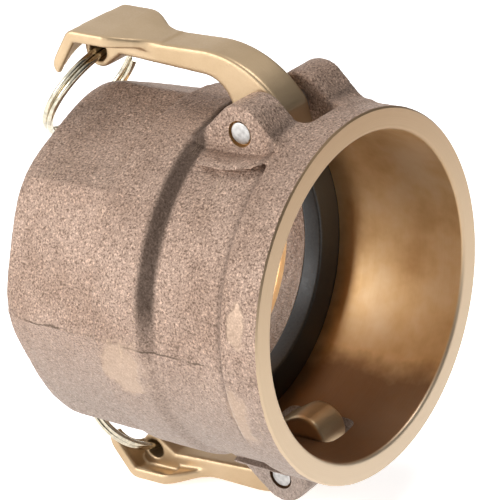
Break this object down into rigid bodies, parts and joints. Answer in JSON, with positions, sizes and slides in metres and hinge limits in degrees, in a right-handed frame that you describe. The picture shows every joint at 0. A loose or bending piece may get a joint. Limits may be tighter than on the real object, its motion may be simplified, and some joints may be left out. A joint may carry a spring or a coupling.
{
  "type": "camlock coupling",
  "caption": "Cast socket coupling with two cam levers on cross pins, pull rings, a face gasket and a tapered female pipe thread behind an octagonal end.",
  "frame": {"origin": "centre of the socket's mouth face, on the bore axis", "axes": "+X along the bore, out of the mouth; +Y parallel to the two hinge pins; +Z from the bore axis towards the upper arm"},
  "size_m": [0.1037, 0.1054, 0.1432],
  "materials": {
    "cast_bronze": "sand cast, with machined socket, mouth face and thread",
    "gasket_rubber": "moulded",
    "arm_brass": "satin, tumbled",
    "pin_steel": "cut ends, bright",
    "ring_steel": "bright drawn wire, plated"
  },
  "bodies": {
    "body": {"coupler_body": "cast_bronze", "gasket": "gasket_rubber", "upper_pin": "pin_steel", "lower_pin": "pin_steel"},
    "upper_arm": {"upper_cam_arm": "arm_brass"},
    "lower_arm": {"lower_cam_arm": "arm_brass"},
    "upper_pull_ring": {"upper_ring": "ring_steel"},
    "lower_pull_ring": {"lower_ring": "ring_steel"}
  },
  "joints": [
    {"name": "upper_arm_hinge", "type": "hinge", "parent": "body", "child": "upper_arm", "pos_m": [-0.0237, 0, 0.0521], "axis": [0, 1, 0], "range_deg": [0, 110]},
    {"name": "lower_arm_hinge", "type": "hinge", "parent": "body", "child": "lower_arm", "pos_m": [-0.0237, 0, -0.0521], "axis": [0, -1, 0], "range_deg": [0, 110]},
    {"name": "upper_ring_swing", "type": "hinge", "parent": "upper_arm", "child": "upper_pull_ring", "pos_m": [-0.082, -0.0012, 0.0639], "axis": [0, 1, 0], "range_deg": [0, 30]},
    {"name": "lower_ring_swing", "type": "hinge", "parent": "lower_arm", "child": "lower_pull_ring", "pos_m": [-0.082, -0.0012, -0.0639], "axis": [0, -1, 0], "range_deg": [0, 30]}
  ]
}
